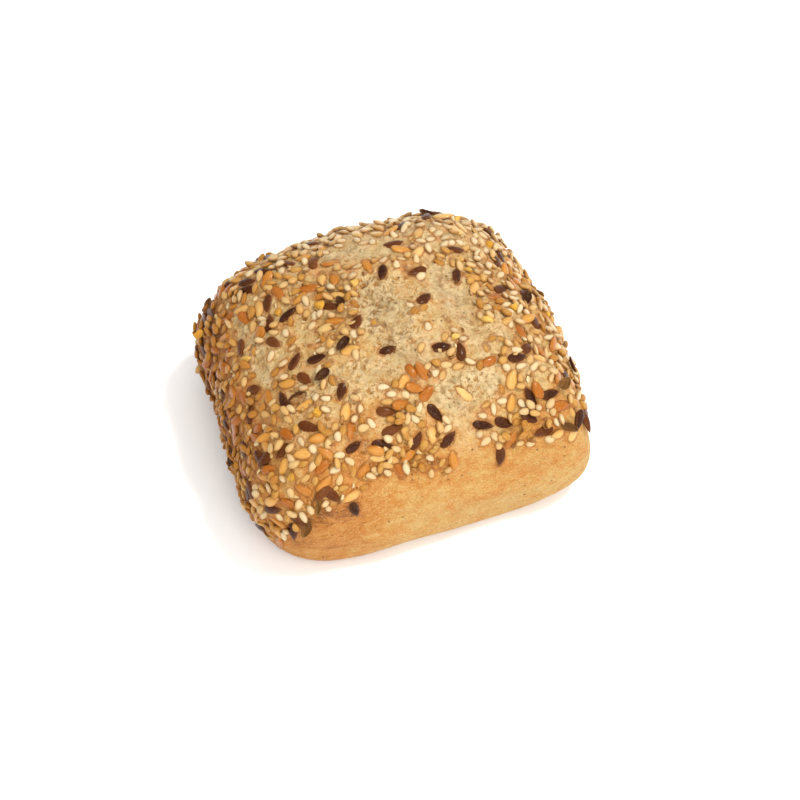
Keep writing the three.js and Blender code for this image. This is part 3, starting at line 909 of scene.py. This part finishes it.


# Baked wheat crust: dry and matt. Straw-pale where the dough tore open, golden below and browner round the
# seeds, partly as toast and partly as painted shade where the skin meets them. It has scorched bran flecks,
# painted shade in its pits, cracks and hollows, and a dusting of flour. Its grain is 0.4 mm, twice the real
# one, to show.
wheatCrust = {
    "tones": [
        (0.0, "#c2ab7c"), (0.2, "#c1a169"), (0.4, "#be9453"), (0.56, "#b98240"), (0.72, "#ae6c28"),
        (0.87, "#884e1b"), (1.0, "#633613"),
    ],
    # painted shade: the colour of pits, cracks and craters
    "pit": "#8f6434",
    "thread": "#e0c392",
    "blush": "#b87430",
    # painted shade: the colour between the ridges and threads
    "cellShade": "#9a6426",
    "scorch": "#a4621f",
    "flour": "#c8b18a",
    "fleck": "#4f2c15",
    # painted shadow where the skin meets a seed
    "contactShade": "#834d1d",
    "crumb": "#d2b986",
    # painted shade: the colour of the grain's small hollows
    "hollowShade": "#8f6531",
    "roughness": (0.66, 0.88),
    "gloss": 0.15,
    "flourSheen": 0.04,
    # shades of the skin: size in mm, detail, how far each way, how level it lies, and where
    "shades": [
        (6.5, 3, 0.15, (1, 1, 1), "open"),
        (2.2, 5, 0.13, (1, 1, 1), "open"),
        (0.9, 3, 0.12, (1, 1, 1), "open"),
        (0.8, 4, 0.14, (0.5, 0.5, 1), "band"),
        (2.6, 4, 0.11, (0.6, 0.6, 1), "band"),
        (8, 2, 0.08, (0.5, 0.5, 1), "band"),
    ],
    "shadeRoughness": 0.63,
    # a browner ring round each seed, partly toast and partly painted shade
    "nearSeed": {"From Min": 0.3, "From Max": 0.95, "To Max": 0.1},
    # its noises: size in mm, then the node's own settings
    "grain": (0.4, {"Detail": 4, "Roughness": 0.7}),
    "coarse": (1.2, {"Detail": 4, "Roughness": 0.7}),
    "crests": (1.2, {"Detail": 4, "Roughness": 0.6, "Distortion": 0.5, "Offset": 1, "Gain": 2}),
    "blushes": (3.2, {"Detail": 5, "Roughness": 0.6}),
    "blushNearSeed": 0.1,
    "bunches": (4, {"Detail": 2}),
    "bunchSpan": {"From Min": 0.38, "From Max": 0.58, "To Min": 0.25},
    "fleckSize": 1.7,
    "fleckPick": {"From Min": 0.76, "From Max": 0.88},
    # what lies over the tone: by what, from where to where and how strong, what limits it, and its colour
    "layers": [
        ("coarse", {"From Min": 0.3, "From Max": 0.6, "To Min": 0.35}, "flour", "flour"),
        ("blushes", {"From Min": 0.56, "From Max": 0.7, "To Max": 0.75}, None, "blush"),
        ("grain", {"From Min": 0.52, "From Max": 0.68, "To Max": 0.45}, None, "crumb"),
        # painted shade in the grain's hollows, where its bump is low
        ("grain", {"From Min": 0.48, "From Max": 0.36, "To Max": 0.6}, None, "hollowShade"),
        # painted shade in the valleys of the ridged relief
        ("ridge", {"From Min": 0.3, "From Max": 0.0, "To Max": 0.35}, "open", "cellShade"),
        ("ridge", {"From Min": 0.55, "From Max": 0.95, "To Max": 0.5}, "bunched", "thread"),
        # painted shade in the hollows between the threads
        ("crests", {"From Min": 1.0, "From Max": 0.45, "To Max": 1.0}, "bunched", "cellShade"),
        ("crests", {"From Min": 0.9, "From Max": 0.4, "To Max": 0.4}, "band", "scorch"),
        ("crests", {"From Min": 1.1, "From Max": 1.6, "To Max": 0.9}, "bunched", "thread"),
        # painted shade in the pits, cracks and craters
        ("pit", {"From Min": 0.15, "To Max": 0.55}, None, "pit"),
        ("flecks", {"From Min": 0.1, "From Max": 0.22, "To Min": 0.75, "To Max": 0}, "fleckPicked", "fleck"),
        # painted shadow where the skin meets a seed
        ("nearSeed", {"From Min": 0.92, "To Max": 1.1}, "coarse", "contactShade"),
    ],
    # bumps, coarsest first: by what, strength, depth in mm
    "bumps": [("coarse", 0.7, 0.6), ("grain", 0.8, 0.35), ("threads", 0.8, 0.35), ("streaks", 0.7, 0.3)],
}


def paintCrust(piece, look):
    m = newMaterial("baked_wheat_crust")
    place = addNode(m, "ShaderNodeTexCoord", output="Object")
    at = {
        name: addNode(m, "ShaderNodeAttribute", output="Fac", attribute_name=name)
        for name in ("toast", "flour", "pit", "band", "torn", "ridge", "nearSeed")
    }
    at["open"] = addNode(m, "ShaderNodeMath", {0: 1.0, 1: at["band"]}, operation="SUBTRACT")
    shade = at["toast"]
    for size, detail, reach, level, where in look["shades"]:
        laid = addNode(m, "ShaderNodeMapping", {"Vector": place, "Scale": level})
        patchy = addNode(m, "ShaderNodeTexNoise", {
            "Vector": laid, "Scale": scaleFor(size), "Detail": detail, "Roughness": look["shadeRoughness"],
        })
        span = {"Value": patchy, "From Min": 0.3, "From Max": 0.7, "To Min": -reach, "To Max": reach}
        off = addNode(m, "ShaderNodeMapRange", span)
        shade = addNode(m, "ShaderNodeMath", {0: off, 1: at[where], 2: shade}, operation="MULTIPLY_ADD")
        if where == "band":
            at.setdefault("streaks", patchy)  # the finest of the band's shades is in its relief too
    # the browner ring round each seed: partly toast, partly painted shade
    ring = addNode(m, "ShaderNodeMapRange", {"Value": at["nearSeed"], **look["nearSeed"]})
    shade = addNode(m, "ShaderNodeMath", {0: ring, 1: shade}, operation="ADD")
    colour = addNode(m, "ShaderNodeValToRGB", {"Fac": shade}, stops=look["tones"])
    for name in ("grain", "coarse", "blushes", "bunches"):
        size, settings = look[name]
        at[name] = addNode(m, "ShaderNodeTexNoise", {"Vector": place, "Scale": scaleFor(size), **settings})
    nearer = {0: at["nearSeed"], 1: look["blushNearSeed"], 2: at["blushes"]}
    at["blushes"] = addNode(m, "ShaderNodeMath", nearer, operation="MULTIPLY_ADD")
    # threads of torn crumb: bright crests over small hollows darkened as painted shade, bunched in patches
    size, settings = look["crests"]
    at["crests"] = addNode(
        m, "ShaderNodeTexNoise", {"Vector": place, "Scale": scaleFor(size), **settings},
        noise_type="RIDGED_MULTIFRACTAL", normalize=False,
    )
    bunches = addNode(m, "ShaderNodeMapRange", {"Value": at["bunches"], **look["bunchSpan"]})
    at["bunched"] = addNode(m, "ShaderNodeMath", {0: bunches, 1: at["torn"]}, operation="MULTIPLY")
    # flecks of bran: round spots in some of the cells
    cells = {"Vector": place, "Scale": scaleFor(look["fleckSize"])}
    at["flecks"] = addNode(m, "ShaderNodeTexVoronoi", cells)
    cellColour = addNode(m, "ShaderNodeTexVoronoi", cells, output="Color")
    picked = addNode(m, "ShaderNodeSeparateColor", {"Color": cellColour})
    at["fleckPicked"] = addNode(m, "ShaderNodeMapRange", {"Value": picked, **look["fleckPick"]})
    for by, span, limit, name in look["layers"]:
        share = addNode(m, "ShaderNodeMapRange", {"Value": at[by], **span})
        if limit:
            share = addNode(m, "ShaderNodeMath", {0: share, 1: at[limit]}, operation="MULTIPLY")
        sockets = {0: share, 6: colour, 7: linear(look[name])}
        colour = addNode(m, "ShaderNodeMix", sockets, output=2, data_type="RGBA")
    at["threads"] = addNode(m, "ShaderNodeMath", {0: at["crests"], 1: at["torn"]}, operation="MULTIPLY")
    at["streaks"] = addNode(m, "ShaderNodeMath", {0: at["streaks"], 1: at["band"]}, operation="MULTIPLY")
    bump = {}
    for by, strength, depth in look["bumps"]:
        bump = {"Normal": addNode(m, "ShaderNodeBump", {
            "Height": at[by], "Strength": strength, "Distance": depth * perMm, **bump,
        })}
    low, high = look["roughness"]
    finishMaterial(m, piece, {
        "Base Color": colour,
        "Roughness": addNode(m, "ShaderNodeMapRange", {"Value": at["grain"], "To Min": low, "To Max": high}),
        **bump,
        "Specular IOR Level": look["gloss"],
        "Sheen Weight": look["flourSheen"],
    })


# Seed coats: smooth and oily, each seed toasted to its own shade and paler at its point, browner at its rim,
# the sides below its top, as painted shade that leaves the top lighter. Fine wrinkles run along it, with
# painted light and shade following their height, and the bloom on it is 0.5 mm, coarser than the real one,
# to show.
coatLook = {
    "bloomSize": 0.5,
    "wrinkleStretch": (1.6, 1.5, 30),  # along a seed, round it, and from seed to seed
    "wrinkleScale": 1.6,
    # painted light and shade: how far the tone follows the wrinkles' height
    "wrinkleLightAndShade": 0.6,
    "wrinkleDepth": 0.3,
    "bloomBump": (0.35, 0.12),
    # painted light and shade: where the sides below a seed's top take the rim colour
    "rimSpan": {"From Min": 0.95, "From Max": 0.6},
    "tipSpan": {"From Min": 0.82, "From Max": 1.0},
    "dustSpan": {"From Min": 0.52, "From Max": 0.72},
    "roughnessSpan": (-0.08, 0.16),
    "coatRoughness": 0.12,
    "glowRadius": (1, 0.7, 0.4),
    "glowDepth": 0.5,
}
seedCoats = {
    "brown": {
        "name": "brown_linseed_coat",
        "tones": [(0.0, "#2c1206"), (0.4, "#431f0a"), (0.75, "#53280b"), (1.0, "#683917")],
        "rim": "#70401e", "rimShare": 0.45, "tip": "#8d5f3a", "tipShare": 0.5,
        "dust": "#a07850", "dustShare": 0.12,
        "roughness": 0.24, "gloss": 0.13, "coat": 0.14, "glow": 0, "wrinkle": 0.9,
    },
    "golden": {
        "name": "golden_linseed_coat",
        "tones": [(0.0, "#965009"), (0.3, "#ac6a1f"), (0.65, "#c18a3c"), (1.0, "#cea868")],
        "rim": "#8c4c0e", "rimShare": 0.6, "tip": "#ccab72", "tipShare": 0.35,
        "dust": "#cfb482", "dustShare": 0.15,
        "roughness": 0.28, "gloss": 0.3, "coat": 0.3, "glow": 0.06, "wrinkle": 0.45,
    },
    "sesame": {
        "name": "toasted_sesame_coat",
        "tones": [(0.0, "#9d6726"), (0.24, "#b48742"), (0.5, "#c2a06a"), (0.85, "#c8b38b")],
        "rim": "#966022", "rimShare": 0.7, "tip": "#966022", "tipShare": 0.5,
        "dust": "#c6b48c", "dustShare": 0.15,
        "roughness": 0.36, "gloss": 0.25, "coat": 0.15, "glow": 0.1, "wrinkle": 0.25,
    },
    "grit": {
        "name": "maize_grit",
        "tones": [(0.0, "#b87a1e"), (0.5, "#c59231"), (1.0, "#cfae60")],
        "rim": "#a87328", "rimShare": 0.4, "tip": "#d2bd7c", "tipShare": 0.3,
        "dust": "#d4c594", "dustShare": 0.3,
        "roughness": 0.5, "gloss": 0.25, "coat": 0.05, "glow": 0.1, "wrinkle": 0.2,
    },
    "crumb": {
        "name": "bran_and_crumb",
        "tones": [(0.0, "#613716"), (0.3, "#976530"), (0.6, "#b8904f"), (1.0, "#cdb88a")],
        "rim": "#835425", "rimShare": 0.4, "tip": "#c0a26a", "tipShare": 0.2,
        "dust": "#d0c09a", "dustShare": 0.3,
        "roughness": 0.65, "gloss": 0.15, "coat": 0, "glow": 0, "wrinkle": 0.3,
    },
    "husk": {
        "name": "linseed_husk_skin",
        "tones": [(0.0, "#2e150a"), (0.5, "#54301a"), (1.0, "#9c6b30")],
        "rim": "#351b0d", "rimShare": 0.4, "tip": "#96724a", "tipShare": 0.4,
        "dust": "#ab8d62", "dustShare": 0.2,
        "roughness": 0.45, "gloss": 0.2, "coat": 0.1, "glow": 0, "wrinkle": 0.8,
    },
}


def paintSeeds(piece, look):
    m = newMaterial(look["name"])
    place = addNode(m, "ShaderNodeTexCoord", output="Object")
    at = {
        name: addNode(m, "ShaderNodeAttribute", output="Fac", attribute_name=name)
        for name in ("tone", "alongSeed", "upSeed", "roundSeed")
    }
    bloomScale = scaleFor(coatLook["bloomSize"])
    at["bloom"] = addNode(m, "ShaderNodeTexNoise", {"Vector": place, "Scale": bloomScale, "Detail": 3})
    # wrinkles that run along each seed, others on each; the tone follows them as painted light and shade
    onSeed = addNode(m, "ShaderNodeCombineXYZ", {"X": at["alongSeed"], "Y": at["roundSeed"], "Z": at["tone"]})
    drawn = addNode(m, "ShaderNodeMapping", {"Vector": onSeed, "Scale": coatLook["wrinkleStretch"]})
    wrinkled = {"Vector": drawn, "Scale": coatLook["wrinkleScale"], "Detail": 3}
    at["wrinkle"] = addNode(m, "ShaderNodeTexNoise", wrinkled)
    shift = addNode(m, "ShaderNodeMath", {0: at["wrinkle"], 1: 0.5}, operation="SUBTRACT")
    tone = {0: shift, 1: coatLook["wrinkleLightAndShade"], 2: at["tone"]}
    shade = addNode(m, "ShaderNodeMath", tone, operation="MULTIPLY_ADD")
    colour = addNode(m, "ShaderNodeValToRGB", {"Fac": shade}, stops=look["tones"])
    # the rim colour on a seed's sides is painted light and shade; its tip and dust are its own
    for name, by in (("rim", "upSeed"), ("tip", "alongSeed"), ("dust", "bloom")):
        span = {"Value": at[by], **coatLook[name + "Span"], "To Max": look[name + "Share"]}
        share = addNode(m, "ShaderNodeMapRange", span)
        sockets = {0: share, 6: colour, 7: linear(look[name])}
        colour = addNode(m, "ShaderNodeMix", sockets, output=2, data_type="RGBA")
    bump = {}
    for by, strength, depth in (
        ("wrinkle", look["wrinkle"], coatLook["wrinkleDepth"]),
        ("bloom", *coatLook["bloomBump"]),
    ):
        bump = {"Normal": addNode(m, "ShaderNodeBump", {
            "Height": at[by], "Strength": strength, "Distance": depth * perMm, **bump,
        })}
    low, high = (look["roughness"] + off for off in coatLook["roughnessSpan"])
    finishMaterial(m, piece, {
        "Base Color": colour,
        "Roughness": addNode(m, "ShaderNodeMapRange", {"Value": at["bloom"], "To Min": low, "To Max": high}),
        **bump,
        "Specular IOR Level": look["gloss"],
        "Specular Tint": linear(look["tip"]),
        "Coat Weight": look["coat"],
        "Coat Roughness": coatLook["coatRoughness"],
        "Subsurface Weight": look["glow"],
        "Subsurface Radius": coatLook["glowRadius"],
        "Subsurface Scale": coatLook["glowDepth"] * perMm,
    })


paintCrust(crustPiece, wheatCrust)
for name, piece in seedPieces.items():
    paintSeeds(piece, seedCoats[name])
print("materials painted")

# Studio: a pale floor, soft light from above on the right, and the camera that the photograph was taken from
studio = {
    "floorSize": 12,
    "floorColour": "#fcfbf9",
    "floorRoughness": 0.9,
    "worldStrength": (0.0, 1.4),  # from the dark side of the room to the bright one
    "darkFrom": -0.7,  # how far from the bright side the light is gone, as a dot product
    "brightSide": (0.45, -0.3, 0.84),  # right, away and up, as the camera sees it
    # lights: right, away and up from the roll as the camera sees it, width in degrees and strength
    "key": ((0.4, 0.05, 0.95), 9, 1.6),
    "fill": ((0.25, -0.9, 0.65), 50, 1.35),
    "turn": 20.4,
    "elevation": 52,
    "distance": 0.9,
    "aimHeight": 0.02,
    "pixelsPerMm": 4.2,
    "middlePixel": (391.7, 375.9),
    "imageSize": 800,
    "clip": (0.01, 10),
}


def seenFrom(right, away, up):
    turn = math.radians(studio["turn"])
    x = right * math.cos(turn) + away * math.sin(turn)
    return Vector((x, away * math.cos(turn) - right * math.sin(turn), up))


def setStudio():
    scene = bpy.context.scene
    floorMesh = bpy.data.meshes.new("floor")
    half = studio["floorSize"] / 2
    corners = [(-half, -half, 0), (half, -half, 0), (half, half, 0), (-half, half, 0)]
    floorMesh.from_pydata(corners, [], [(0, 1, 2, 3)])
    floor = bpy.data.objects.new("floor", floorMesh)
    scene.collection.objects.link(floor)
    paper = newMaterial("matt_white_paper")
    sockets = {"Base Color": linear(studio["floorColour"]), "Roughness": studio["floorRoughness"]}
    finishMaterial(paper, floor, sockets)
    world = bpy.data.worlds.new("studio")
    world.use_nodes = True
    toward = addNode(world, "ShaderNodeTexCoord", output="Generated")
    bright = tuple(seenFrom(*studio["brightSide"]))
    sockets = {0: toward, 1: bright}
    side = addNode(world, "ShaderNodeVectorMath", sockets, output="Value", operation="DOT_PRODUCT")
    low, high = studio["worldStrength"]
    span = {"Value": side, "From Min": studio["darkFrom"], "To Min": low, "To Max": high}
    strength = addNode(world, "ShaderNodeMapRange", span)
    background = world.node_tree.nodes["Background"]
    world.node_tree.links.new(strength, background.inputs["Strength"])
    background.inputs["Color"].default_value = (1, 1, 1, 1)
    scene.world = world
    aim = Vector(dough["centring"]) * perMm + Vector((0, 0, studio["aimHeight"]))
    for name in ("key", "fill"):
        place, width, strength = studio[name]
        light = bpy.data.objects.new(name + "Light", bpy.data.lights.new(name + "Light", "SUN"))
        light.data.angle = math.radians(width)
        light.data.energy = strength
        light.location = aim + seenFrom(*place)
        light.rotation_euler = (aim - light.location).to_track_quat("-Z", "Y").to_euler()
        scene.collection.objects.link(light)
    camera = bpy.data.objects.new("camera", bpy.data.cameras.new("camera"))
    tilt = math.radians(studio["elevation"])
    camera.location = aim + studio["distance"] * seenFrom(0, -math.cos(tilt), math.sin(tilt))
    camera.rotation_euler = (aim - camera.location).to_track_quat("-Z", "Y").to_euler()
    size = studio["imageSize"]
    seenWidth = size / studio["pixelsPerMm"] * perMm
    camera.data.lens = camera.data.sensor_width * studio["distance"] / seenWidth
    camera.data.shift_x = (size / 2 - studio["middlePixel"][0]) / size
    camera.data.shift_y = (studio["middlePixel"][1] - size / 2) / size
    camera.data.clip_start, camera.data.clip_end = studio["clip"]
    scene.collection.objects.link(camera)
    scene.camera = camera
    scene.view_settings.view_transform = "Standard"


setStudio()
print("studio set")
